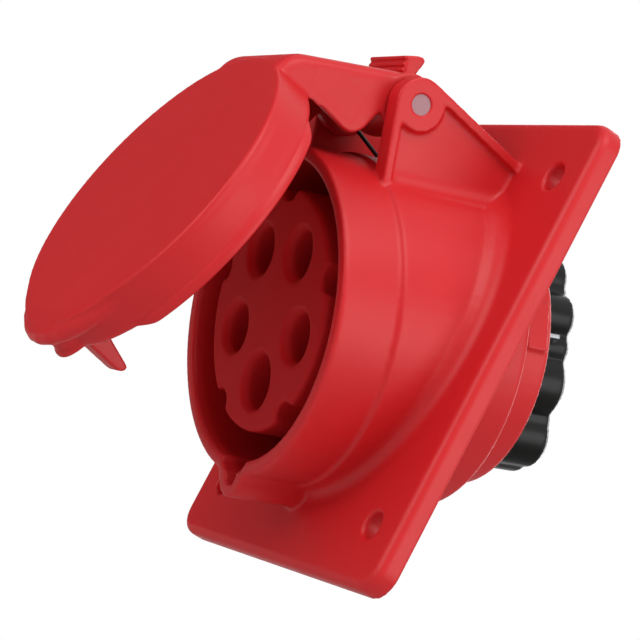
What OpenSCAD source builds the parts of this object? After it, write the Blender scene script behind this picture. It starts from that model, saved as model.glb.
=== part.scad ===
// Angled five-pole panel socket with a sprung flip lid, drawn with the lid part open.
// Origin: centre of the flange's rear face. X right, Y to the rear, Z up, millimetres.

/* [Flange] */
// Flange width
flange_w = 83; // [76:0.5:100]
// Flange height
flange_h = 96.4; // [92:0.2:115]
// Flange thickness
flange_t = 4.5; // [3.5:0.1:6]
// Flange corner radius
flange_corner = 5; // [4:0.5:9]
// Rounding of the flange's front edge
edge_round = 1.8; // [0.8:0.1:2.4]
// Fixing hole spacing across
hole_dx = 63; // [60:0.5:70]
// Fixing hole spacing up and down
hole_dz = 72.6; // [68:0.2:80]
// Fixing hole diameter
hole_d = 5.5; // [4:0.1:6.5]
// Softened edge of each fixing hole
hole_soft = 0.4; // [0.2:0.05:0.6]
// Width of the relief round the body in the flange's rear face
relief_w = 2.4; // [1.5:0.1:4]
// Depth of that relief
relief_deep = 0.6; // [0.4:0.1:1]

/* [Collar] */
// Downward tilt of the socket axis
tilt = 19.6; // [15:0.2:25]
// Distance from the wall to the middle of the collar's rim
rim_out = 29.8; // [27:0.2:34]
// Drop of the rim's middle below the flange's middle
rim_drop = 8.1; // [6:0.1:10]
// Outside radius of the collar's front band
collar_r = 31.8; // [31:0.1:33]
// Radius of the body behind the front band
body_r = 32.4; // [32:0.1:33.5]
// Length of the front band
band_len = 11.9; // [8:0.1:14]
// Collar bore radius
bore_r = 29; // [27.5:0.1:30]
// Depth of the ring gap that takes the plug's shroud
bore_depth = 33; // [30:0.5:35]
// Depth at which the wide rear body ends
body_end = 40; // [38:0.1:42]
// Radius of the narrow rear skirt
rear_r = 26.6; // [26:0.1:28]
// Depth at which the rear skirt ends
rear_end = 48; // [46:0.5:52]
// Radius of the fillet where the body leaves the flange
foot_r = 2.8; // [1.5:0.1:3.5]
// Keyway slot width at its mouth
key_w = 10; // [7:0.1:10.5]
// Radius of the keyway slot's round bottom
key_r = 2.3; // [2:0.05:2.6]
// Keyway slot bottom, from the socket axis
key_v = 33.7; // [33:0.1:34.2]
// Keyway boss bottom, from the socket axis
boss_v = 36.1; // [35.5:0.1:37.5]
// Keyway boss width
boss_w = 9.6; // [9:0.1:12]
// Keyway slot length
key_len = 16; // [12:0.5:17]

/* [Hinge] */
// Hinge pin height above the socket axis
pin_v = 42.1; // [41:0.1:45]
// Hinge pin depth behind the rim
pin_depth = 16.15; // [15:0.1:18]
// Hinge pin radius
pin_r = 2; // [1.6:0.05:2.3]
// Radial running clearance of the lid on its pin
pin_clear = 0.08; // [0.04:0.01:0.1]
// Radius of the ear's boss
ear_r = 5.1; // [4.6:0.1:5.6]
// Outer face of each ear, from the middle
ear_out = 18.3; // [17.5:0.1:20]
// Inner face of each ear, from the middle
ear_in = 14; // [13:0.1:15]
// Fall of the ear's rear edge
ear_fall = 28; // [24:0.5:34]
// Width of the ribs round the ear
rib_t = 1.8; // [1.4:0.1:2.6]
// Depth of the ear's panel below its ribs
web_sink = 1.3; // [0.8:0.1:2]

/* [Lid] */
// Lid opening angle as drawn
lid_open = 30.4; // [0:0.2:110]
// Lid rim radius
lid_r = 32.4; // [31.8:0.1:33.5]
// Height of the lid
lid_h = 8.55; // [7.5:0.05:10]
// Gap between the closed lid and the collar's rim
lid_gap = 0.3; // [0.2:0.05:0.6]
// Lid wall thickness
lid_t = 2.4; // [2:0.1:3]
// Rounding of the lid's top edge
lid_round = 2; // [1:0.1:2.5]
// Radius of the hinge barrel
barrel_r = 6; // [5.4:0.1:6.4]
// Side clearance of the hinge neck between the ears
neck_gap = 0.4; // [0.3:0.05:0.6]
// Thickness of the neck's side cheeks
cheek_t = 2.5; // [2:0.1:3.2]
// Rounding between the neck's back and the lid's top
neck_round = 7; // [4:0.5:9]
// Softening of the neck's upper edges
neck_soft = 2.2; // [1:0.1:3]
// Depth of the panel in the neck's cheeks
cheek_sink = 0.3; // [0.2:0.05:0.5]
// Width of the ribbed thumb tab
tab_w = 14.8; // [10:0.2:18]
// Reach of the thumb tab above the hinge pin
tab_reach = 11; // [9.5:0.1:12]
// Reach of the finger lip beyond the lid's rim
lip_reach = 3.6; // [2:0.1:5]
// Radius of the finger lip's nose
lip_r = 23; // [18:0.5:25]
// Overlap of the lid's bead over the collar's rim
bead_drop = 0.95; // [0.5:0.05:1.2]
// Reach of that bead from the lid's axis
bead_r = 32.8; // [32.6:0.1:33.4]
// Off-centre shift that makes the bead die out up and down from the lid's sides
bead_off = 3; // [2:0.5:5]
// Radial clearance of the bead round the collar
bead_clear = 0.35; // [0.3:0.05:0.5]
// Locking tongue width
tongue_w = 4.6; // [3.6:0.1:5]
// Locking tongue length below the rim
tongue_len = 9.8; // [7:0.1:11]

/* [Contacts] */
// Insert radius
insert_r = 23.3; // [22.5:0.1:23.8]
// Depth of the insert's face behind the rim
face_depth = 1.6; // [1:0.1:3]
// Pitch circle radius of the contacts
pitch_r = 13.7; // [13.3:0.1:14.2]
// Funnel mouth radius of a phase hole
mouth_r = 5.6; // [5.2:0.1:5.9]
// Funnel mouth radius of the earth hole
mouth_er = 6; // [5.6:0.1:6.3]
// Outside radius of a phase sleeve
sleeve_r = 3.9; // [3.5:0.05:4.1]
// Outside radius of the earth sleeve
sleeve_er = 4.6; // [4.2:0.05:4.8]
// Bore radius of a phase sleeve
pole_r = 2.6; // [2.4:0.05:2.8]
// Bore radius of the earth sleeve
pole_er = 3.6; // [3.4:0.05:3.7]
// Assembly clearance between fixed pieces
seat_gap = 0.05; // [0.02:0.01:0.1]
// Depth at which the terminal towers end
tower_end = 57.2; // [55:0.1:60]
// Terminal screw circle radius
screw_ring_r = 17; // [16.5:0.1:17.5]
// Terminal screw head radius
screw_head_r = 2.5; // [2.2:0.05:2.8]
// Terminal screw shank radius
screw_r = 1.5; // [1.2:0.05:1.8]
// Carrier screw shank radius
carrier_r = 1.9; // [1.6:0.05:2.2]
// Terminal clamp thickness
clamp_t = 0.9; // [0.6:0.05:1.2]
// Lid spring wire radius
wire_r = 0.42; // [0.3:0.02:0.5]

/* [Hidden] */
sin_t = sin(tilt);
cos_t = cos(tilt);
rear_bore = insert_r + 1.3;
lip_depth = bore_depth + 1.5;
block_front = body_end + 1;
block_back = rear_end - 1.5;
neck_x = ear_in - neck_gap;
lid_rim = pin_depth + lid_gap;
lid_top = lid_rim + lid_h;
seal_seat = lid_rim + 2.7;
neck_ang = 33.35;
crown_v = (barrel_r - neck_round - (lid_top - neck_round) * sin(neck_ang)) / cos(neck_ang);
crown_n = lid_top - neck_round;
neck_root = -pin_v + lid_r - 6.5;
cheek_v = -pin_v + sqrt(pow(collar_r + lid_gap, 2) - pow(neck_x - cheek_t, 2)) - 0.5;
cheek_n = 3.8;
coil_r = pin_r + 1.05;
coil_x = -7.6;
coil_turns = 8;
barrel_x = coil_x + coil_turns * wire_r * 1.9 + 1.8;
leg_fall = 37.5;
leg_v = pin_v - coil_r * 0.76;
leg_len = (leg_v - sqrt(body_r * body_r - coil_x * coil_x) - wire_r - seat_gap) / sin(leg_fall);
sleeve_front = face_depth + 10;
ring_end = sleeve_front + 9;
ear_tip_v = pin_v + ear_r * cos(ear_fall);
ear_tip_a = -pin_depth - ear_r * sin(ear_fall);
web_x = ear_out - web_sink;
root_r = 4;
root_ang = asin(web_x / body_r);
root_v = body_r * cos(root_ang) - 0.1;
root_t = root_r / tan(45 + root_ang / 2);
red = [0.78, 0.08, 0.08];
black = [0.06, 0.06, 0.06];
brass = [0.75, 0.6, 0.3];
steel = [0.7, 0.7, 0.72];

// Frame whose Z runs forward out of the socket from the rim's middle
module on_axis() {
  translate([0, -rim_out, -rim_drop])
    rotate([90 + tilt, 0, 0])
      children();
}

// Frame of the lid, on the hinge pin, turned to its drawn opening
module on_lid() {
  on_axis()
    translate([0, pin_v, -pin_depth])
      rotate([-lid_open, 0, 0])
        children();
}

// Everything in front of the wall
module before_wall() {
  intersection() {
    children();
    translate([-150, -300, -150])
      cube([300, 299.7, 300]);
  }
}

// Side plate: a profile in height and forward distance, spread across X
module side_plate(x0, x1) {
  translate([x0, 0, 0])
    rotate([90, 0, 90])
      linear_extrude(x1 - x0)
        children();
}

module round_rect(w, h, r) {
  offset(r, $fn = 32)
    square([w - 2 * r, h - 2 * r], center = true);
}

module flange() {
  rotate([90, 0, 0])
    hull()
      for (a = [0:22.5:90])
        linear_extrude(flange_t - edge_round * (1 - sin(a)))
          round_rect(flange_w - 2 * edge_round * (1 - cos(a)), flange_h - 2 * edge_round * (1 - cos(a)),
            flange_corner - edge_round * (1 - cos(a)));
}

// Cut that frees the flange's rear face from the tilted body and its rear skirt
module rear_relief() {
  intersection() {
    on_axis() {
      translate([0, 0, -body_end])
        cylinder(h = body_end, r = body_r + relief_w, $fn = 96);
      translate([0, 0, -rear_end])
        cylinder(h = rear_end - body_end + 1, r = rear_r + relief_w, $fn = 96);
    }
    translate([-flange_w, -relief_deep, -flange_h])
      cube([2 * flange_w, 10, 2 * flange_h]);
  }
}

// Slice of the tilted body in a plane parallel to the wall
module foot_slice(y, more) {
  translate([0, y, -rim_drop + (y + rim_out) * sin_t / cos_t])
    rotate([90, 0, 0])
      scale([1, 1 / cos_t, 1])
        cylinder(h = 0.05, r = body_r + more, $fn = 64);
}

// Hollow fillet between the body and the flange, in four steps
module foot() {
  for (a = [0:22.5:67.5])
    hull() {
      foot_slice(-flange_t + (a == 0 ? 0.3 : -foot_r * (1 - cos(a))), foot_r * (1 - sin(a)));
      foot_slice(-flange_t - foot_r * (1 - cos(a + 22.5)), foot_r * (1 - sin(a + 22.5)));
    }
}

module body_outside() {
  rotate_extrude($fn = 96)
    polygon([[0, -0.1], [bore_r + 0.6, 0], [collar_r - 0.7, 0], [collar_r - 0.2, -0.2], [collar_r, -0.7],
      [collar_r, -band_len], [body_r, -band_len - 0.3], [body_r - 0.4, -body_end + 0.6], [body_r - 1, -body_end],
      [rear_r + 0.4, -body_end], [rear_r, -rear_end + 0.5], [rear_r - 0.4, -rear_end], [0, -rear_end]]);
}

module body_inside() {
  rotate_extrude($fn = 96)
    polygon([[0, 1], [bore_r + 0.7, 1], [bore_r + 0.7, 0], [bore_r + 0.2, -0.2], [bore_r, -0.8],
      [bore_r, -bore_depth], [insert_r + 0.5, -bore_depth], [insert_r + 0.5, -lip_depth],
      [rear_bore, -lip_depth], [rear_bore, -rear_end - 1], [0, -rear_end - 1]]);
}

module key_boss() {
  translate([0, 0, -24])
    linear_extrude(24) {
      translate([0, -boss_v + boss_w / 2])
        circle(boss_w / 2, $fn = 32);
      translate([-boss_w / 2, -boss_v + boss_w / 2])
        square([boss_w, 6]);
      polygon([[-boss_w / 2 - 2.2, -collar_r + 2.4], [-boss_w / 2, -collar_r - 0.6],
        [boss_w / 2, -collar_r - 0.6], [boss_w / 2 + 2.2, -collar_r + 2.4]]);
    }
}

module key_slot() {
  translate([0, 0, -key_len])
    linear_extrude(key_len + 1) {
      translate([0, -key_v + key_r])
        circle(key_r, $fn = 32);
      polygon([[-key_r, -key_v + key_r], [key_r, -key_v + key_r],
        [key_w / 2, -bore_r - 0.6], [key_w / 2, -bore_r + 2], [-key_w / 2, -bore_r + 2],
        [-key_w / 2, -bore_r - 0.6]]);
    }
}

module ear_outline() {
  polygon([[pin_v, -pin_depth + ear_r], [24, -pin_depth + ear_r], [24, -60],
    [ear_tip_v - 42 * sin(ear_fall), ear_tip_a - 42 * cos(ear_fall)], [ear_tip_v, ear_tip_a]]);
  translate([pin_v, -pin_depth])
    circle(ear_r, $fn = 48);
}

module ear_panel() {
  difference() {
    offset(delta = -rib_t)
      polygon([[pin_v, -pin_depth + ear_r], [18, -pin_depth + ear_r], [18, -60],
        [ear_tip_v - 42 * sin(ear_fall), ear_tip_a - 42 * cos(ear_fall)], [ear_tip_v, ear_tip_a]]);
    translate([pin_v, -pin_depth])
      circle(ear_r, $fn = 48);
  }
}

module ear() {
  difference() {
    side_plate(ear_in, ear_out)
      ear_outline();
    side_plate(ear_out - web_sink, ear_out + 1)
      ear_panel();
  }
}

// Fillet between the ear's panel and the body
module ear_root() {
  translate([0, 0, -60])
    linear_extrude(60 - band_len - 0.3)
      polygon(concat([[web_x - 1, root_v - 1.5], [web_x - 1, root_v + root_t]],
        [for (i = [0:6]) [web_x + root_r - root_r * cos(i * (90 - root_ang) / 6),
          root_v + root_t - root_r * sin(i * (90 - root_ang) / 6)]],
        [[web_x + root_t, root_v - 3]]));
}

module latch_pad() {
  rotate([0, 0, 13])
    translate([rear_r - 1.6, -4.7, -rear_end + 1.2])
      cube([2.2, 9.4, rear_end - body_end - 3.6]);
}

module housing() {
  color(red)
    difference() {
      union() {
        difference() {
          flange();
          rear_relief();
        }
        foot();
        on_axis()
          body_outside();
        before_wall()
          on_axis() {
            key_boss();
            for (m = [0, 1])
              mirror([m, 0, 0]) {
                ear();
                ear_root();
              }
          }
        on_axis() {
          latch_pad();
          mirror([1, 0, 0])
            latch_pad();
        }
      }
      on_axis() {
        body_inside();
        key_slot();
        translate([-ear_out - 1, pin_v, -pin_depth])
          rotate([0, 90, 0])
            cylinder(h = 2 * ear_out + 2, r = pin_r, $fn = 32);
      }
      for (x = [-1, 1], z = [-1, 1])
        translate([x * hole_dx / 2, 0, z * hole_dz / 2])
          rotate([90, 0, 0]) {
            translate([0, 0, -1])
              cylinder(h = flange_t + 2, d = hole_d, $fn = 32);
            translate([0, 0, flange_t - hole_soft])
              cylinder(h = hole_soft + 0.1, r1 = hole_d / 2, r2 = hole_d / 2 + hole_soft, $fn = 32);
          }
    }
}

// Back of the neck, sunk by d: its slope up from the barrel and its round crown at the lid's top
function neck_back(d) = concat([[(barrel_r - 0.05 - d) * cos(neck_ang), (barrel_r - 0.05 - d) * sin(neck_ang)]],
  [for (i = [0:6]) let (a = neck_ang + i * (90 - neck_ang) / 6)
    [crown_v + (neck_round - d) * cos(a), crown_n + (neck_round - d) * sin(a)]]);

// Neck of the lid, seen from the side: height above the pin and forward distance
module neck_outline() {
  polygon(concat(neck_back(neck_soft), [[neck_root, lid_top - neck_soft], [neck_root, lid_rim],
    [cheek_v, lid_rim - 0.2], [cheek_v, cheek_n + 3.4], [cheek_v + 0.4, cheek_n + 2.1],
    [cheek_v + 1.2, cheek_n + 1.2], [cheek_v + 2.8, cheek_n + 0.4], [cheek_v + 7, cheek_n], [0, 0]]));
  circle(barrel_r, $fn = 48);
}

// Upper part of the neck with its edges rounded off
module neck_crown() {
  hull()
    for (a = [0:30:90])
      side_plate(-neck_x + neck_soft * (1 - cos(a)), neck_x - neck_soft * (1 - cos(a)))
        polygon(concat(neck_back(neck_soft * (1 - sin(a))), [[neck_root, lid_top - neck_soft * (1 - sin(a))],
          [neck_root, lid_rim + 1], [0, 0]]));
}

module neck_inside() {
  difference() {
    offset(delta = -1.7)
      union() {
        polygon(concat(neck_back(0), [[-20, lid_top], [-20, -12], [0, -12], [0, 0]]));
        translate([0, -12])
          square([barrel_r, 12]);
        circle(barrel_r, $fn = 48);
      }
    translate([-60, lid_rim])
      square([60 - pin_v + lid_r, 40]);
  }
}

module cheek_panel() {
  polygon([[cheek_v + 1.4, lid_rim + 1], [-7.9, lid_rim + 2.4], [-4.8, lid_rim - 2.4], [-4.4, cheek_n + 3.6],
    [cheek_v + 1.4, cheek_n + 3.2]]);
}

// Thumb tab with three ribs across its front
module tab_outline() {
  polygon([[4.7, 0.3], [tab_reach - 0.5, 0.3], [tab_reach - 0.1, 0.6], [tab_reach, 1.2], [tab_reach - 0.4, 2.1],
    [tab_reach - 1.9, 3.9], [tab_reach - 2.3, 4.1], [tab_reach - 2.7, 3.7], [tab_reach - 2.9, 3.2],
    [tab_reach - 3.2, 3.6], [tab_reach - 3.6, 3.3], [tab_reach - 3.8, 2.8], [tab_reach - 4.1, 3.1],
    [tab_reach - 4.5, 2.8], [tab_reach - 4.8, 2.3], [5.2, 2.8], [4.7, 2.4]]);
}

module lid_disc() {
  translate([0, -pin_v, 0])
    rotate_extrude($fn = 96)
      polygon([[0, lid_rim + 3], [lid_r - 2, lid_rim], [lid_r - 1, lid_rim], [lid_r - 0.4, lid_rim + 0.4],
        [lid_r - 0.1, lid_rim + 1.2], [lid_r - 0.3, lid_rim + 3], [lid_r - 0.5, lid_top - lid_round],
        [lid_r - 0.5 - lid_round * 0.1, lid_top - lid_round * 0.6],
        [lid_r - 0.5 - lid_round * 0.35, lid_top - lid_round * 0.25],
        [lid_r - 0.5 - lid_round * 0.75, lid_top - lid_round * 0.05],
        [lid_r - 0.5 - lid_round * 1.3, lid_top], [0, lid_top]]);
}

module lid_hollow() {
  translate([0, -pin_v, 0])
    rotate_extrude($fn = 96)
      polygon([[0, lid_rim - 1], [lid_r - 1.7, lid_rim - 1], [lid_r - 1.7, seal_seat], [lid_r - 3, seal_seat],
        [lid_r - 3.4, lid_top - lid_t - 0.8], [lid_r - 4.2, lid_top - lid_t], [0, lid_top - lid_t]]);
}

// Disc across the lid, moved towards its tip
module lip_disc(r, v, n0, n1) {
  translate([0, -pin_v - v, n0])
    cylinder(h = n1 - n0, r = r, $fn = 32);
}

// Beads that lap over the collar at the lid's two sides and die out towards hinge and tip
module rim_bead() {
  side_r = bead_r - bead_off;
  difference() {
    for (s = [-1, 1])
      translate([s * bead_off, -pin_v - 0.2, lid_rim - bead_drop])
        rotate_extrude($fn = 96)
          polygon([[0, 0], [side_r - 0.3, 0], [side_r, 0.4], [side_r, 1], [side_r - 0.4, 2], [0, 2]]);
    translate([0, -pin_v, lid_rim - 5])
      cylinder(h = 5, r = collar_r + bead_clear, $fn = 96);
  }
}

// Finger lip: a broad nose at the lid's tip, and a small lower lip on the skirt below it
module finger_lip() {
  lip_v = lid_r + lip_reach - lip_r;
  hull() {
    lip_disc(lid_r - 0.6 - lid_round * 1.3, 0, lid_top - 0.2, lid_top - 0.1);
    lip_disc(lid_r - 0.7, 0, lid_top - lid_round - 0.4, lid_top - lid_round);
    lip_disc(lip_r - 2.4, lip_v, lid_top - 0.8, lid_top - 0.6);
    lip_disc(lip_r - 0.8, lip_v, lid_top - 1.4, lid_top - 1.2);
    lip_disc(lip_r, lip_v, lid_top - 3, lid_top - 2.2);
    lip_disc(lip_r - 0.8, lip_v, lid_top - 4, lid_top - 3.8);
  }
  hull() {
    lip_disc(10, lid_r - 8.2, lid_top - 4.2, lid_top - 4);
    lip_disc(5.6, lid_r - 3.6, lid_rim + 0.7, lid_rim + 1.6);
    lip_disc(4.8, lid_r - 3.6, lid_rim + 0.1, lid_rim + 0.2);
  }
}

module tongue() {
  side_plate(-tongue_w / 2, tongue_w / 2)
    polygon([[-pin_v - 30.2, lid_top - 1], [-pin_v - 30.2, lid_rim - tongue_len + 1.3],
      [-pin_v - 29.6, lid_rim - tongue_len + 0.3], [-pin_v - 28.8, lid_rim - tongue_len],
      [-pin_v - 28.3, lid_rim - tongue_len + 0.4], [-pin_v - 25.6, lid_rim - 0.5],
      [-pin_v - 25.2, lid_top - 1]]);
}

module lid() {
  color(red)
    on_lid()
      difference() {
        union() {
          difference() {
            union() {
              lid_disc();
              rim_bead();
              finger_lip();
            }
            lid_hollow();
          }
          difference() {
            union() {
              side_plate(-neck_x, neck_x)
                neck_outline();
              neck_crown();
            }
            side_plate(-neck_x + cheek_t, neck_x - cheek_t)
              neck_inside();
            translate([0, -pin_v, lid_rim - 30])
              cylinder(h = lid_top - lid_t - lid_rim + 30, r = lid_r - 4, $fn = 96);
            translate([0, -pin_v, lid_rim - 30])
              cylinder(h = seal_seat - lid_rim + 30, r = lid_r - 1.7, $fn = 96);
            translate([0, -pin_v, lid_rim - 30])
              cylinder(h = 30, r = collar_r + lid_gap, $fn = 96);
            for (x = [-neck_x - 1, neck_x - cheek_sink])
              side_plate(x, x + 1 + (x < 0 ? cheek_sink : 0))
                cheek_panel();
          }
          side_plate(barrel_x, neck_x - 0.5)
            circle(barrel_r, $fn = 48);
          side_plate(-tab_w / 2, tab_w / 2)
            tab_outline();
          tongue();
        }
        translate([-neck_x - 1, 0, 0])
          rotate([0, 90, 0])
            cylinder(h = 2 * neck_x + 2, r = pin_r + pin_clear, $fn = 32);
      }
}

module lid_seal() {
  color([0.12, 0.12, 0.13])
    on_lid()
      translate([0, -pin_v, 0])
        difference() {
          rotate_extrude($fn = 96)
            polygon([[lid_r - 4.6, seal_seat], [lid_r - 4.2, lid_rim + 0.8], [lid_r - 3.6, lid_rim + 0.4],
              [lid_r - 2.1, lid_rim + 0.4], [lid_r - 1.7 - seat_gap, lid_rim + 0.8],
              [lid_r - 1.7 - seat_gap, seal_seat]]);
          translate([-tongue_w / 2 - 0.3, -lid_r, lid_rim - 1])
            cube([tongue_w + 0.6, 10, 6]);
        }
}

module hinge_pin() {
  color([0.85, 0.8, 0.78])
    on_axis()
      translate([-ear_out + 0.3, pin_v, -pin_depth])
        rotate([0, 90, 0])
          cylinder(h = 2 * ear_out - 0.6, r = pin_r, $fn = 32);
}

// Closed-wound coil round the pin with one leg on the collar and one under the neck
module lid_spring() {
  color(black)
    on_axis()
      translate([0, pin_v, -pin_depth]) {
        for (i = [0:coil_turns - 1])
          translate([coil_x + i * wire_r * 1.9, 0, 0])
            rotate([0, 90, 0])
              rotate_extrude($fn = 28)
                translate([coil_r, 0])
                  circle(wire_r, $fn = 10);
        translate([coil_x, leg_v - pin_v, coil_r * 0.65])
          rotate([180 - leg_fall, 0, 0])
            cylinder(h = leg_len, r = wire_r, $fn = 12);
        rotate([-lid_open, 0, 0])
          translate([coil_x + (coil_turns - 1) * wire_r * 1.9, -coil_r * 0.8, coil_r * 0.6])
            rotate([53, 0, 0])
              cylinder(h = 5, r = wire_r, $fn = 12);
      }
}

function pole_ang(k) = 270 + 72 * k;

module insert_hole(big) {
  mr = big ? mouth_er : mouth_r;
  sr = big ? sleeve_er : sleeve_r;
  rotate_extrude($fn = 40)
    polygon([[0, 1], [mr, 1], [mr, -face_depth], [sr + 0.7, -face_depth - 1.4], [sr + 0.7, -ring_end],
      [sr + seat_gap, -ring_end], [sr + seat_gap, -block_front - 1], [0, -block_front - 1]]);
}

module contact_insert() {
  color([0.62, 0.07, 0.07])
    on_axis()
      difference() {
        rotate_extrude($fn = 96)
          polygon([[0, -face_depth], [insert_r - 0.7, -face_depth], [insert_r - 0.2, -face_depth - 0.2],
            [insert_r, -face_depth - 0.7], [insert_r, -lip_depth], [rear_bore - seat_gap, -lip_depth],
            [rear_bore - seat_gap, -block_front], [0, -block_front]]);
        for (k = [0:4])
          rotate([0, 0, pole_ang(k)])
            translate([pitch_r, 0, 0])
              insert_hole(k == 0);
        for (k = [0:4])
          rotate([0, 0, 90 + 72 * k])
            translate([insert_r + 0.6, 0, -bore_depth + 3])
              cylinder(h = 40, r = 3.1, $fn = 28);
        translate([0, 0, -block_front - 1])
          cylinder(h = 13, r = carrier_r, $fn = 24);
      }
}

// Plan of the black terminal towers: contact lobes, screw lobes and the wide lower lobes, run together in waves
module tower_plan() {
  offset(delta = -1.4)
    offset(r = 1.4, $fn = 24) {
      for (k = [0:4])
        rotate([0, 0, -18 + 72 * k]) {
          translate([pitch_r, 0])
            circle(7.2, $fn = 40);
          rotate([0, 0, 28])
            translate([screw_ring_r - 1, 0])
              circle(3.4, $fn = 28);
          rotate([0, 0, 48])
            translate([screw_ring_r, 0])
              circle(4.6, $fn = 32);
        }
      for (m = [0, 1])
        mirror([m, 0]) {
          rotate([0, 0, 58])
            translate([screw_ring_r + 1.4, 0])
              circle(4.5, $fn = 32);
          translate([12, -14.8])
            circle(5.9, $fn = 32);
          translate([7.4, -14.6])
            circle(7.5, $fn = 40);
        }
      circle(14.5, $fn = 48);
    }
}

module terminal_block() {
  color(black)
    on_axis()
      difference() {
        union() {
          translate([0, 0, -block_back])
            cylinder(h = block_back - block_front, r = rear_bore - seat_gap, $fn = 96);
          translate([0, 0, -tower_end + 0.8])
            linear_extrude(tower_end - block_back)
              tower_plan();
          translate([0, 0, -tower_end])
            linear_extrude(2)
              offset(delta = -0.7)
                tower_plan();
        }
        for (k = [0:4])
          rotate([0, 0, pole_ang(k)])
            translate([pitch_r, 0, -tower_end - 1])
              cylinder(h = 40, r = (k == 0 ? sleeve_er : sleeve_r) + seat_gap, $fn = 40);
        for (k = [0:4])
          rotate([0, 0, 27 + 72 * k])
            translate([screw_ring_r, 0, -tower_end - 1])
              cylinder(h = 9, r = screw_head_r + 0.1, $fn = 28);
        for (k = [0:4])
          rotate([0, 0, 27 + 72 * k])
            translate([screw_ring_r, 0, -tower_end - 1])
              cylinder(h = 13, r = screw_r, $fn = 24);
        for (k = [0:4])
          rotate([0, 0, 13 + 72 * k])
            translate([11, -clamp_t / 2 - seat_gap, -tower_end + 4])
              cube([12, clamp_t + 2 * seat_gap, 4]);
        translate([0, 0, -tower_end - 1])
          cylinder(h = 8, r = 2 * carrier_r + 0.1, $fn = 32);
        translate([0, 0, -tower_end - 1])
          cylinder(h = 40, r = carrier_r, $fn = 24);
      }
}

// Slit brass sleeve with a wire hole in its rear end
module sleeve(k, big) {
  sr = big ? sleeve_er : sleeve_r;
  pr = big ? pole_er : pole_r;
  color(brass)
    on_axis()
      rotate([0, 0, pole_ang(k)])
        translate([pitch_r, 0, 0])
          difference() {
            translate([0, 0, -tower_end + 1.5])
              cylinder(h = tower_end - 1.5 - sleeve_front, r = sr, $fn = 40);
            translate([0, 0, -sleeve_front - 26])
              cylinder(h = 27, r = pr, $fn = 32);
            translate([0, 0, -tower_end])
              cylinder(h = 12, r = 2.3, $fn = 28);
            translate([-8, -0.35, -sleeve_front - 14])
              cube([16, 0.7, 15]);
          }
}

module sleeve_l1() {
  sleeve(3, false);
}

module sleeve_l2() {
  sleeve(2, false);
}

module sleeve_l3() {
  sleeve(1, false);
}

module sleeve_n() {
  sleeve(4, false);
}

module sleeve_e() {
  sleeve(0, true);
}

module sleeve_rings() {
  color(steel)
    on_axis()
      for (k = [0:4])
        rotate([0, 0, pole_ang(k)])
          translate([pitch_r, 0, -sleeve_front - 5.2])
            difference() {
              cylinder(h = 4, r = (k == 0 ? sleeve_er : sleeve_r) + 0.5, $fn = 40);
              translate([0, 0, -1])
                cylinder(h = 6, r = (k == 0 ? sleeve_er : sleeve_r), $fn = 40);
              translate([-8, -0.5, -1])
                cube([8, 1, 6]);
            }
}

module terminal_clamps() {
  color(steel)
    on_axis()
      for (k = [0:4])
        rotate([0, 0, 13 + 72 * k])
          translate([11.4, -clamp_t / 2, -tower_end + 4.2])
            cube([10.4, clamp_t, 3.6]);
}

module terminal_screws() {
  color(steel)
    on_axis()
      for (k = [0:4])
        rotate([0, 0, 27 + 72 * k])
          translate([screw_ring_r, 0, 0])
            difference() {
              union() {
                translate([0, 0, -tower_end + 5])
                  cylinder(h = 3, r = screw_head_r, $fn = 28);
                translate([0, 0, -tower_end + 5])
                  cylinder(h = 6.8, r = screw_r - 0.02, $fn = 24);
              }
              translate([-3, -0.4, -tower_end + 4])
                cube([6, 0.8, 2]);
            }
}

module carrier_screw() {
  color(steel)
    on_axis()
      difference() {
        union() {
          translate([0, 0, -tower_end + 4.2])
            cylinder(h = 2.8, r = 2 * carrier_r - 0.2, $fn = 32);
          translate([0, 0, -tower_end + 5])
            cylinder(h = tower_end - 5 - block_front + 10, r = carrier_r - 0.02, $fn = 24);
        }
        translate([-4, -0.5, -tower_end + 3])
          cube([8, 1, 2.2]);
      }
}

housing();
lid();
lid_seal();
hinge_pin();
lid_spring();
contact_insert();
terminal_block();
sleeve_l1();
sleeve_l2();
sleeve_l3();
sleeve_n();
sleeve_e();
sleeve_rings();
terminal_clamps();
terminal_screws();
carrier_screw();
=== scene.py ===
import math
import bpy
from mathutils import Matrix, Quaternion, Vector


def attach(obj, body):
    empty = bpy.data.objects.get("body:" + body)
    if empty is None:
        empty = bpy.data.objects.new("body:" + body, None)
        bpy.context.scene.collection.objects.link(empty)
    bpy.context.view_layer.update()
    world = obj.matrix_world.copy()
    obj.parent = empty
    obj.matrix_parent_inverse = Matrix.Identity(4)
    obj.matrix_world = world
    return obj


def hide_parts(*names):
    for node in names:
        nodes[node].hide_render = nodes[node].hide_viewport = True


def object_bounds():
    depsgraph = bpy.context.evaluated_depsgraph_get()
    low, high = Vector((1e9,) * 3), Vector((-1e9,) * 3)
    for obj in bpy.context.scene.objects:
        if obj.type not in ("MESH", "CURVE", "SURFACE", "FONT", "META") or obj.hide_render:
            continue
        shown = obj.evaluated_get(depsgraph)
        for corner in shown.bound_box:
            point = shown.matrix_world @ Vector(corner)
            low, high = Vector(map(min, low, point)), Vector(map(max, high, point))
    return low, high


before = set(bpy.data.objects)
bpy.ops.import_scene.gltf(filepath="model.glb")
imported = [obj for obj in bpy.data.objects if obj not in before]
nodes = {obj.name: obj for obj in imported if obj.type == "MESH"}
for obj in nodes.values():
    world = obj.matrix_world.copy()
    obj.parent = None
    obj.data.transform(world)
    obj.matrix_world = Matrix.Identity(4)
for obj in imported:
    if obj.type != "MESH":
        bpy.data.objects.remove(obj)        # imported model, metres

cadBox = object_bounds()
scene = bpy.context.scene
print("frame loaded:", len(nodes), "nodes")


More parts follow.
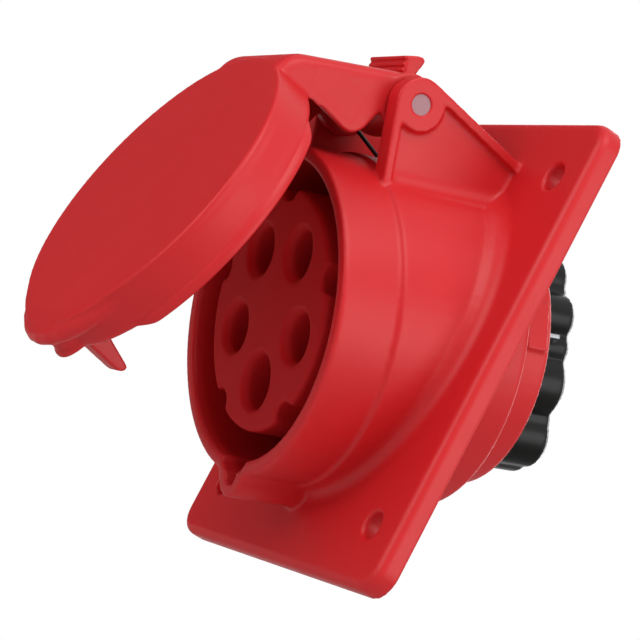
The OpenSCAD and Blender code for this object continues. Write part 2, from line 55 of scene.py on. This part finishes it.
# camera, low and close to the collar's right side
cameraView = {
    "place": (0.44562, -0.23035, -0.08802),
    "ahead": (-0.88970512, 0.42455726, 0.16785687),
    "roll": 28.04,        # degrees, the object leans to the right in the picture
    "lens": 148.22,
    "sensor": 36.0,
    "clipStart": 0.01,
}


def placeCamera(view):
    cameraData = bpy.data.cameras.new("photoCamera")
    cameraData.lens = view["lens"]
    cameraData.sensor_width = view["sensor"]
    cameraData.clip_start = view["clipStart"]
    camera = bpy.data.objects.new("photoCamera", cameraData)
    scene.collection.objects.link(camera)
    camera.rotation_mode = "QUATERNION"
    level = Vector(view["ahead"]).to_track_quat("-Z", "Y")
    camera.rotation_quaternion = level @ Quaternion((0, 0, 1), math.radians(view["roll"]))
    camera.location = view["place"]
    scene.camera = camera


placeCamera(cameraView)
print("camera placed")


# light tent: white to look at, softer on the object
tent = {"white": (1.0, 1.0, 1.0), "skyOnObject": 0.28}
lamps = [
    {"name": "keyLamp", "place": (0.42, -0.16, 0.52), "size": 0.45, "power": 2.6},
    {"name": "sideLamp", "place": (0.62, 0.28, 0.10), "size": 0.40, "power": 1.6},
    {"name": "frontLamp", "place": (0.05, -0.75, 0.20), "size": 0.50, "power": 2.4},
    {"name": "backLamp", "place": (-0.42, 0.42, 0.22), "size": 0.45, "power": 2.2},
]
lampAim = Vector((0, -0.01, 0))


def lookedAt(tree):        # 1 for what the camera, a mirror or a glass shows
    path = tree.nodes.new("ShaderNodeLightPath")
    seen = path.outputs["Is Camera Ray"]
    for ray in ("Is Glossy Ray", "Is Transmission Ray"):
        either = tree.nodes.new("ShaderNodeMath")
        either.operation = "MAXIMUM"
        tree.links.new(seen, either.inputs[0])
        tree.links.new(path.outputs[ray], either.inputs[1])
        seen = either.outputs[0]
    return seen


def lightTent(setup):
    world = bpy.data.worlds.new("lightTent")
    scene.world = world
    world.use_nodes = True
    tree = world.node_tree
    background = tree.nodes["Background"]
    background.inputs["Color"].default_value = (*setup["white"], 1)
    level = tree.nodes.new("ShaderNodeMapRange")
    level.inputs["To Min"].default_value = setup["skyOnObject"]
    level.inputs["To Max"].default_value = 1.0
    tree.links.new(lookedAt(tree), level.inputs["Value"])
    tree.links.new(level.outputs["Result"], background.inputs["Strength"])


def hangLamp(lamp, aim):
    data = bpy.data.lights.new(lamp["name"], "AREA")
    data.shape = "SQUARE"
    data.size = lamp["size"]
    data.energy = lamp["power"]
    hung = bpy.data.objects.new(lamp["name"], data)
    scene.collection.objects.link(hung)
    hung.location = lamp["place"]
    hung.rotation_euler = (aim - hung.location).to_track_quat("-Z", "Y").to_euler()


lightTent(tent)
for lamp in lamps:
    hangLamp(lamp, lampAim)
scene.view_settings.view_transform = "Standard"
print("tent and lamps hung")


def newMaterial(name):
    material = bpy.data.materials.new(name)
    material.use_nodes = True
    return material, material.node_tree.nodes["Principled BSDF"]


# plain pale floor, well under the part
floorPlan = {
    "size": 6.0,
    "drop": 0.07,
    "colour": (0.74, 0.74, 0.73),
    "roughness": 0.9,
    "white": (0.92, 0.92, 0.91),
    "glow": 0.27,
}


def layFloor(plan):
    bpy.ops.object.select_all(action="DESELECT")
    bpy.ops.mesh.primitive_plane_add(size=plan["size"],
                                     location=(0, 0, cadBox[0][2] - plan["drop"]))
    floor = bpy.context.object
    floor.name = "studioFloor"
    bpy.ops.object.transform_apply(location=True, rotation=True, scale=True)
    paper, shader = newMaterial("floorPaper")
    tree = paper.node_tree
    shader.inputs["Base Color"].default_value = (*plan["colour"], 1)
    shader.inputs["Roughness"].default_value = plan["roughness"]
    shader.inputs["Emission Color"].default_value = (*plan["white"], 1)
    lift = tree.nodes.new("ShaderNodeMath")        # paler to look at, no more light on the object
    lift.operation = "MULTIPLY"
    lift.inputs[1].default_value = plan["glow"]
    tree.links.new(lookedAt(tree), lift.inputs[0])
    tree.links.new(lift.outputs[0], shader.inputs["Emission Strength"])
    floor.data.materials.append(paper)


layFloor(floorPlan)


# dark cards beside and under the part, so the lid, the flange and the low edges don't mirror white
cards = [
    {"name": "sideCard", "size": 0.9, "place": (-0.47, -0.30, 0.16), "aim": (0, -0.03, 0.02),
     "colour": (0.16, 0.16, 0.16), "shades": True},
    {"name": "lowCard", "size": 0.8, "place": (0.10, -0.05, -0.112), "aim": (0.10, -0.05, 0.0),
     "colour": (0.30, 0.30, 0.30), "shades": False},        # only mirrored, lets light pass
]


def standCard(plan):
    facing = (Vector(plan["aim"]) - Vector(plan["place"])).to_track_quat("Z", "Y")
    bpy.ops.object.select_all(action="DESELECT")
    bpy.ops.mesh.primitive_plane_add(size=plan["size"], location=plan["place"],
                                     rotation=facing.to_euler())
    card = bpy.context.object
    card.name = plan["name"]
    bpy.ops.object.transform_apply(location=True, rotation=True, scale=True)
    felt, shader = newMaterial(plan["name"] + "Felt")
    shader.inputs["Base Color"].default_value = (*plan["colour"], 1)
    shader.inputs["Roughness"].default_value = 1.0
    shader.inputs["Specular IOR Level"].default_value = 0.0
    card.data.materials.append(felt)
    card.visible_camera = False
    card.visible_shadow = plan["shades"]
    card.visible_diffuse = plan["shades"]


for card in cards:
    standCard(card)
print("floor and cards laid")


# what the two shader groups share
def openGroup(name, inputs, outputs):
    group = bpy.data.node_groups.new(name, "ShaderNodeTree")
    for label, kind in inputs.items():
        group.interface.new_socket(label, in_out="INPUT", socket_type=kind)
    for label, kind in outputs.items():
        group.interface.new_socket(label, in_out="OUTPUT", socket_type=kind)
    return group, group.nodes.new("NodeGroupInput"), group.nodes.new("NodeGroupOutput")


def addGrain(group, grain):
    place = group.nodes.new("ShaderNodeTexCoord")
    noise = group.nodes.new("ShaderNodeTexNoise")
    noise.inputs["Scale"].default_value = grain["scale"]
    noise.inputs["Detail"].default_value = grain["detail"]
    group.links.new(place.outputs["Object"], noise.inputs["Vector"])
    return noise.outputs["Fac"]


def blendColour(group, given, result, share):
    blend = group.nodes.new("ShaderNodeMix")
    blend.data_type = "RGBA"
    group.links.new(share, blend.inputs["Factor"])
    group.links.new(given.outputs["Base"], blend.inputs[6])        # colour sockets: 6, 7 and 2
    group.links.new(given.outputs["Shade"], blend.inputs[7])
    group.links.new(blend.outputs[2], result.inputs["Color"])


def spreadGloss(group, given, result, grain):
    gloss = group.nodes.new("ShaderNodeMapRange")
    group.links.new(grain, gloss.inputs["Value"])
    group.links.new(given.outputs["Gloss Low"], gloss.inputs["To Min"])
    group.links.new(given.outputs["Gloss High"], gloss.inputs["To Max"])
    group.links.new(gloss.outputs["Result"], result.inputs["Roughness"])


def dressMaterial(name, group, finish):
    material, shader = newMaterial(name)
    tree = material.node_tree
    look = tree.nodes.new("ShaderNodeGroup")
    look.node_tree = group
    look.inputs["Base"].default_value = (*finish["base"], 1)
    look.inputs["Shade"].default_value = (*finish["shade"], 1)
    look.inputs["Gloss Low"].default_value = finish["gloss"][0]
    look.inputs["Gloss High"].default_value = finish["gloss"][1]
    tree.links.new(look.outputs["Color"], shader.inputs["Base Color"])
    tree.links.new(look.outputs["Roughness"], shader.inputs["Roughness"])
    return material, shader, look


# moulded plastic: slow colour drift, uneven gloss and a faint skin from the mould
skinGrains = {
    "drift": {"scale": 60.0, "detail": 4},
    "skin": {"scale": 1800.0, "detail": 2},
}
skinDepth = 0.0001
plastics = {
    "redPlastic": {"base": (0.60, 0.012, 0.016), "shade": (0.51, 0.009, 0.012), "drift": 0.6,
                   "gloss": (0.36, 0.50), "specular": 0.34, "skin": 0.04},
    "insertPlastic": {"base": (0.52, 0.009, 0.012), "shade": (0.44, 0.007, 0.010), "drift": 0.6,
                      "gloss": (0.52, 0.66), "specular": 0.12, "skin": 0.05},
    "blackPlastic": {"base": (0.009, 0.0085, 0.008), "shade": (0.006, 0.006, 0.006), "drift": 0.7,
                     "gloss": (0.24, 0.38), "specular": 0.18, "skin": 0.05},
    "pinPlastic": {"base": (0.38, 0.20, 0.22), "shade": (0.31, 0.15, 0.17), "drift": 0.5,
                   "gloss": (0.4, 0.5), "specular": 0.3, "skin": 0.03},
    "sealRubber": {"base": (0.02, 0.02, 0.021), "shade": (0.014, 0.014, 0.014), "drift": 0.7,
                   "gloss": (0.6, 0.75), "specular": 0.2, "skin": 0.05},
}


def mouldedSkinGroup(grains):
    group, given, result = openGroup(
        "mouldedSkin",
        {"Base": "NodeSocketColor", "Shade": "NodeSocketColor", "Drift": "NodeSocketFloat",
         "Gloss Low": "NodeSocketFloat", "Gloss High": "NodeSocketFloat"},
        {"Color": "NodeSocketColor", "Roughness": "NodeSocketFloat", "Height": "NodeSocketFloat"})
    drift = addGrain(group, grains["drift"])
    amount = group.nodes.new("ShaderNodeMath")
    amount.operation = "MULTIPLY"
    group.links.new(drift, amount.inputs[0])
    group.links.new(given.outputs["Drift"], amount.inputs[1])
    blendColour(group, given, result, amount.outputs[0])
    spreadGloss(group, given, result, drift)
    group.links.new(addGrain(group, grains["skin"]), result.inputs["Height"])
    return group


mouldedSkin = mouldedSkinGroup(skinGrains)


def mouldPlastic(name, finish):
    material, shader, look = dressMaterial(name, mouldedSkin, finish)
    tree = material.node_tree
    shader.inputs["Specular IOR Level"].default_value = finish["specular"]
    look.inputs["Drift"].default_value = finish["drift"]
    bump = tree.nodes.new("ShaderNodeBump")
    bump.inputs["Strength"].default_value = finish["skin"]
    bump.inputs["Distance"].default_value = skinDepth
    tree.links.new(look.outputs["Height"], bump.inputs["Height"])
    tree.links.new(bump.outputs["Normal"], shader.inputs["Normal"])
    return material


# metals: fine grain and uneven gloss
metalGrain = {"scale": 700, "detail": 3}
metals = {
    "brass": {"base": (0.72, 0.50, 0.20), "shade": (0.60, 0.40, 0.15), "gloss": (0.22, 0.38)},
    "zincSteel": {"base": (0.40, 0.41, 0.42), "shade": (0.28, 0.29, 0.31), "gloss": (0.34, 0.52)},
    "springSteel": {"base": (0.05, 0.05, 0.055), "shade": (0.03, 0.03, 0.032),
                    "gloss": (0.3, 0.45)},
}


def drawnMetalGroup(grain):
    group, given, result = openGroup(
        "drawnMetal",
        {"Base": "NodeSocketColor", "Shade": "NodeSocketColor",
         "Gloss Low": "NodeSocketFloat", "Gloss High": "NodeSocketFloat"},
        {"Color": "NodeSocketColor", "Roughness": "NodeSocketFloat"})
    speckle = addGrain(group, grain)
    blendColour(group, given, result, speckle)
    spreadGloss(group, given, result, speckle)
    return group


drawnMetal = drawnMetalGroup(metalGrain)


def drawMetal(name, finish):
    material, shader = dressMaterial(name, drawnMetal, finish)[:2]
    shader.inputs["Metallic"].default_value = 1.0
    return material


finishes = {name: mouldPlastic(name, finish) for name, finish in plastics.items()}
finishes.update({name: drawMetal(name, finish) for name, finish in metals.items()})

nodeFinish = {
    "housing": "redPlastic", "lid": "redPlastic", "contact_insert": "insertPlastic",
    "terminal_block": "blackPlastic", "hinge_pin": "pinPlastic", "lid_seal": "sealRubber",
    "lid_spring": "springSteel", "sleeve_rings": "zincSteel", "terminal_clamps": "zincSteel",
    "terminal_screws": "zincSteel", "carrier_screw": "zincSteel",
}
for name, piece in nodes.items():
    piece.data.materials.clear()
    piece.data.materials.append(finishes[nodeFinish.get(name, "brass")])        # sleeves are brass
print("finishes set:", len(finishes))


def pickOnly(first, *others):        # the first one becomes active
    bpy.ops.object.select_all(action="DESELECT")
    for piece in (first, *others):
        piece.select_set(True)
    bpy.context.view_layer.objects.active = first


# the lid as it is stored, part open: its hinge pin, and ways along and off it
hingePin = Vector((0, -0.028708, 0.036978))
lidUp = Vector((0, 0.1873, 0.9823))        # towards the hinge
lidDown = Vector((0, -0.1873, -0.9823))        # towards the tip
lidOutward = Vector((0, -0.9823, 0.1873))
seamWeld = 0.000001
smoothBelow = math.radians(50)

# crest, visor and lower lip of the lid, worked up from discs and run into its soft copy
lidDiscs = {
    "topCentre": Vector((0, -0.06115, 0.00031)),
    "frontMost": -0.06672,        # nothing of the lid stands further forward
    "sides": 160,
    "edge": 0.0006,
    "edgeSteps": 4,
    "rimDepth": 0.00001,        # the outer face's rim lies within this
    "discs": [
        {"radius": 0.03175, "reach": 0.0, "sink": 0.0, "depth": 0.0022},        # crisp crest
        {"radius": 0.0268, "reach": 0.0066, "sink": 0.0002, "depth": 0.0030},        # visor
        {"radius": 0.0062, "reach": 0.0288, "sink": 0.0065, "depth": 0.0017},        # lower lip
    ],
}


def turnLidDisc(plan, disc):
    top = plan["topCentre"] + lidDown * disc["reach"] - lidOutward * disc["sink"]
    bpy.ops.object.select_all(action="DESELECT")
    bpy.ops.mesh.primitive_cylinder_add(vertices=plan["sides"], radius=disc["radius"],
                                        depth=disc["depth"],
                                        location=top - lidOutward * disc["depth"] / 2,
                                        rotation=lidOutward.to_track_quat("Z", "Y").to_euler())
    piece = bpy.context.object
    bpy.ops.object.transform_apply(location=True, rotation=True, scale=True)
    for edge in piece.data.edges:
        heights = [(piece.data.vertices[v].co - top).dot(lidOutward) for v in edge.vertices]
        edge.select = min(heights) > -plan["rimDepth"]
    bpy.ops.object.mode_set(mode="EDIT")
    bpy.ops.mesh.select_mode(type="EDGE")
    bpy.ops.mesh.bevel(offset=plan["edge"], segments=plan["edgeSteps"])
    bpy.ops.mesh.select_all(action="SELECT")
    bpy.ops.mesh.bisect(plane_co=(0, plan["frontMost"], 0), plane_no=(0, -1, 0),
                        use_fill=True, clear_outer=True)
    bpy.ops.object.mode_set(mode="OBJECT")
    return piece


# the panels in the neck's cheeks are very shallow, so plates fill most of their depth
cheekPlates = {
    "corners": ((-0.0112, 0.0172), (-0.0080, 0.0187), (-0.0050, 0.0140),
                (-0.0045, 0.0075), (-0.0112, 0.0071)),        # up and out from the pin
    "outside": 0.01352,
    "thick": 0.0010,
}


def cutCheekPlate(plan, side):
    bpy.ops.object.select_all(action="DESELECT")
    bpy.ops.mesh.primitive_circle_add(vertices=len(plan["corners"]), fill_type="NGON")
    plate = bpy.context.object
    for vertex, (up, out) in zip(plate.data.vertices, plan["corners"]):
        vertex.co = hingePin + lidUp * up + lidOutward * out
        vertex.co.x = side * plan["outside"]
    bpy.ops.object.mode_set(mode="EDIT")
    bpy.ops.mesh.select_all(action="SELECT")
    inward = (-side * plan["thick"], 0, 0)
    bpy.ops.mesh.extrude_region_move(TRANSFORM_OT_translate={"value": inward})
    bpy.ops.mesh.select_all(action="SELECT")
    bpy.ops.mesh.normals_make_consistent(inside=False)
    bpy.ops.object.mode_set(mode="OBJECT")
    return plate


# the mouldings again with the mould's soft edges and corners, in place of the sharp CAD faces
mouldings = {
    "housing": {"voxel": 0.00046, "rounds": 5, "triangles": 180000,
                "body": "housing", "slot": "red_plastic"},
    "lid": {"voxel": 0.00032, "rounds": 12, "triangles": 190000,
            "body": "lid", "slot": "red_plastic"},
    "contact_insert": {"voxel": 0.00042, "rounds": 9, "triangles": 160000,
                       "body": "housing", "slot": "insert_plastic"},
    "terminal_block": {"voxel": 0.00036, "rounds": 16, "triangles": 140000,
                       "body": "housing", "slot": "black_plastic", "swell": 0.0001},
    "terminal_clamps": {"voxel": 0.00022, "rounds": 10, "triangles": 60000,
                        "body": "housing", "slot": "zinc_steel"},
}
cadWeld = 0.000002        # the CAD triangles come loose
easeFactor = 0.5


def softenMoulding(name, plan, extras):
    sharp = nodes[name]
    soft = bpy.data.objects.new(name + "_soft", sharp.data.copy())
    scene.collection.objects.link(soft)
    pickOnly(soft)
    if soft.data.has_custom_normals:
        bpy.ops.mesh.customdata_custom_splitnormals_clear()        # they belong to the sharp faces
    bpy.ops.object.mode_set(mode="EDIT")
    bpy.ops.mesh.select_all(action="SELECT")
    bpy.ops.mesh.remove_doubles(threshold=cadWeld)
    bpy.ops.object.mode_set(mode="OBJECT")
    if extras:
        pickOnly(soft, *extras)
        bpy.ops.object.join()
    soft.data.remesh_voxel_size = plan["voxel"]
    bpy.ops.object.voxel_remesh()
    ease = soft.modifiers.new("easeEdges", "SMOOTH")
    ease.factor = easeFactor
    ease.iterations = plan["rounds"]
    bpy.ops.object.modifier_apply(modifier="easeEdges")
    if "swell" in plan:        # gives back what the smoothing took
        swell = soft.modifiers.new("giveBack", "DISPLACE")
        swell.mid_level = 0.0
        swell.strength = plan["swell"]
        bpy.ops.object.modifier_apply(modifier="giveBack")
    count = 2 * len(soft.data.polygons)        # triangles, since the remesh makes quads
    if count > plan["triangles"]:
        thin = soft.modifiers.new("thinFlats", "DECIMATE")
        thin.ratio = plan["triangles"] / count
        bpy.ops.object.modifier_apply(modifier="thinFlats")
    bpy.ops.object.shade_smooth()
    soft.data.materials.clear()
    soft.data.materials.append(finishes[nodeFinish[name]])
    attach(soft, plan["body"])
    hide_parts(name)


for name, plan in mouldings.items():
    extras = []
    if name == "lid":
        extras = [turnLidDisc(lidDiscs, disc) for disc in lidDiscs["discs"]]
        extras += [cutCheekPlate(cheekPlates, side) for side in (-1, 1)]
    softenMoulding(name, plan, extras)
print("mouldings softened:", len(mouldings))


# lip along the skirt's lower edge, full at the lid's two sides and run out towards hinge and tip
rimLip = {
    "rimCentre": Vector((0, -0.052751, -0.001291)),        # middle of the skirt's lower edge
    "section": ((0.03215, -0.00092), (0.03258, -0.00096), (0.03282, -0.0006),        # reach, height
                (0.03282, 0.0), (0.0326, 0.0008), (0.0322, 0.0014),
                (0.0316, 0.0014), (0.0316, 0.0001), (0.03215, 0.0)),
    "steps": 240,
    "hingeEnd": (-0.77, -0.58),        # gone, full
    "tipEnd": (0.84, 0.70),
    "bottom": -0.00095,
    "sunkBottom": 0.00075,        # where the lip is gone, it lies flat inside the skirt's wall
    "sunkHeight": 0.213,
    "inside": 0.0316,
    "sunkInside": 0.03145,
    "sunkReach": 0.35,
}


def runLip(plan):
    centre = plan["rimCentre"]
    bpy.ops.object.select_all(action="DESELECT")
    bpy.ops.mesh.primitive_circle_add(vertices=len(plan["section"]))
    lip = bpy.context.object
    lip.name = "lid_rim_lip"
    for vertex, (reach, height) in zip(lip.data.vertices, plan["section"]):
        vertex.co = centre + lidDown * reach + lidOutward * height
    bpy.ops.object.mode_set(mode="EDIT")
    bpy.ops.mesh.select_all(action="SELECT")
    bpy.ops.mesh.spin(steps=plan["steps"], angle=2 * math.pi, center=centre, axis=lidOutward)
    bpy.ops.mesh.select_all(action="SELECT")
    bpy.ops.mesh.remove_doubles(threshold=seamWeld)
    bpy.ops.mesh.normals_make_consistent(inside=False)
    bpy.ops.object.mode_set(mode="OBJECT")
    for vertex in lip.data.vertices:        # sinks the lip into the skirt where it runs out
        away = vertex.co - centre
        height = away.dot(lidOutward)
        flat = away - lidOutward * height
        reach = flat.length
        turn = flat.dot(lidDown) / reach
        gone, full = plan["tipEnd"] if turn > 0 else plan["hingeEnd"]
        share = min(1.0, max(0.0, (turn - gone) / (full - gone)))
        share = share * share * (3 - 2 * share)        # eases both ends
        low = plan["sunkBottom"] + (height - plan["bottom"]) * plan["sunkHeight"]
        near = plan["sunkInside"] + (reach - plan["inside"]) * plan["sunkReach"]
        vertex.co = (centre + flat.normalized() * (near + (reach - near) * share)
                     + lidOutward * (low + (height - low) * share))
    pickOnly(lip)
    ease = lip.modifiers.new("roundLip", "SUBSURF")
    ease.levels = 1
    ease.render_levels = 1
    bpy.ops.object.modifier_apply(modifier="roundLip")
    bpy.ops.object.shade_smooth()
    lip.data.materials.append(finishes["redPlastic"])
    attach(lip, "lid")


runLip(rimLip)


# a round bar with eased ends, for the ribs and the spring's legs
barEnds = {"steps": 3, "sharperThan": math.radians(60)}


def drawBar(middle, turn, length, radius, sides, endRound):
    bpy.ops.object.select_all(action="DESELECT")
    bpy.ops.mesh.primitive_cylinder_add(vertices=sides, radius=radius, depth=length,
                                        location=middle, rotation=turn)
    bar = bpy.context.object
    bpy.ops.object.transform_apply(location=True, rotation=True, scale=True)
    ends = bar.modifiers.new("roundEnds", "BEVEL")
    ends.width = endRound
    ends.segments = barEnds["steps"]
    ends.limit_method = "ANGLE"
    ends.angle_limit = barEnds["sharperThan"]
    bpy.ops.object.modifier_apply(modifier="roundEnds")
    return bar


# three ribs across the thumb tab's front
tabRibs = {
    "places": ((0.00865, 0.00372), (0.00752, 0.00318), (0.00655, 0.00268)),        # up and out
    "turn": (0, math.pi / 2, 0),
    "width": 0.0142,
    "thick": 0.0009,
    "sides": 20,
    "endRound": 0.0002,
}


def pressTabRibs(plan):
    ribs = []
    for up, out in plan["places"]:
        middle = hingePin + lidUp * up + lidOutward * out
        ribs.append(drawBar(middle, plan["turn"], plan["width"], plan["thick"] / 2,
                            plan["sides"], plan["endRound"]))
    pickOnly(*ribs)
    bpy.ops.object.join()
    row = bpy.context.object
    row.name = "tab_ribs"
    bpy.ops.object.shade_smooth_by_angle(angle=smoothBelow)
    row.data.materials.append(finishes["redPlastic"])
    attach(row, "lid")


pressTabRibs(tabRibs)


# the lid's torsion spring, a wound wire with one leg on the collar and one that rides with the lid
springPlan = {
    "left": -0.0076,        # first turn, across the pin
    "coil": 0.00305,
    "wire": 0.00042,
    "turns": 7.08,
    "pitch": 0.0008,
    "sides": 14,
    "steps": 220,
    "start": Vector((0, -0.3574, -0.9341)),        # from the pin's middle to the coil's first point
    "legAim": Vector((0, 0.9517, -0.3074)),        # down and back to the collar
    "legLength": 0.0128,
    "lidLegStart": Vector((0, -0.7394, -0.6735)),        # the same for the lid's leg
    "lidLegAim": Vector((0, -0.7410, -0.6722)),
    "lidLegLength": 0.005,
    "endRound": 0.4,        # of the wire's radius
}


def drawLeg(plan, start, aim, length):
    return drawBar(start + aim * length / 2, aim.to_track_quat("Z", "Y").to_euler(), length,
                   plan["wire"], plan["sides"], plan["wire"] * plan["endRound"])


def windSpring(plan):
    firstTurn = hingePin + Vector((plan["left"], 0, 0))
    bpy.ops.object.select_all(action="DESELECT")
    bpy.ops.mesh.primitive_circle_add(vertices=plan["sides"], radius=plan["wire"],
                                      location=firstTurn)
    coil = bpy.context.object
    coil.name = "lid_spring_wire"
    aim = plan["start"].normalized()
    across = Vector((1, 0, 0))
    for vertex in coil.data.vertices:        # stands the wire's section across the coil's start
        flat = vertex.co.copy()
        vertex.co = aim * (plan["coil"] + flat.y) + across * flat.x
    wind = coil.modifiers.new("wind", "SCREW")
    wind.axis = "X"
    wind.angle = 2 * math.pi * plan["turns"]
    wind.screw_offset = plan["pitch"] * plan["turns"]
    wind.iterations = 1
    wind.steps = plan["steps"]
    wind.render_steps = plan["steps"]
    bpy.ops.object.modifier_apply(modifier="wind")
    bpy.ops.object.mode_set(mode="EDIT")
    bpy.ops.mesh.select_all(action="SELECT")
    bpy.ops.mesh.remove_doubles(threshold=seamWeld)
    bpy.ops.mesh.fill_holes(sides=0)
    bpy.ops.mesh.select_all(action="SELECT")
    bpy.ops.mesh.normals_make_consistent(inside=False)
    bpy.ops.object.mode_set(mode="OBJECT")
    bpy.ops.object.transform_apply(location=True, rotation=True, scale=True)
    leg = drawLeg(plan, firstTurn + plan["start"] * plan["coil"], plan["legAim"], plan["legLength"])
    pickOnly(coil, leg)
    bpy.ops.object.join()
    bpy.ops.object.shade_smooth_by_angle(angle=smoothBelow)
    coil.data.materials.append(finishes["springSteel"])
    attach(coil, "housing")
    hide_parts("lid_spring")


def drawLidLeg(plan):        # turns with the lid and stays on the coil
    lastTurn = hingePin + Vector((plan["left"] + plan["pitch"] * plan["turns"], 0, 0))
    leg = drawLeg(plan, lastTurn + plan["lidLegStart"] * plan["coil"],
                  plan["lidLegAim"], plan["lidLegLength"])
    leg.name = "lid_spring_leg"
    bpy.ops.object.shade_smooth_by_angle(angle=smoothBelow)
    leg.data.materials.append(finishes["springSteel"])
    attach(leg, "lid")


windSpring(springPlan)
drawLidLeg(springPlan)
print("lip, ribs and spring made")
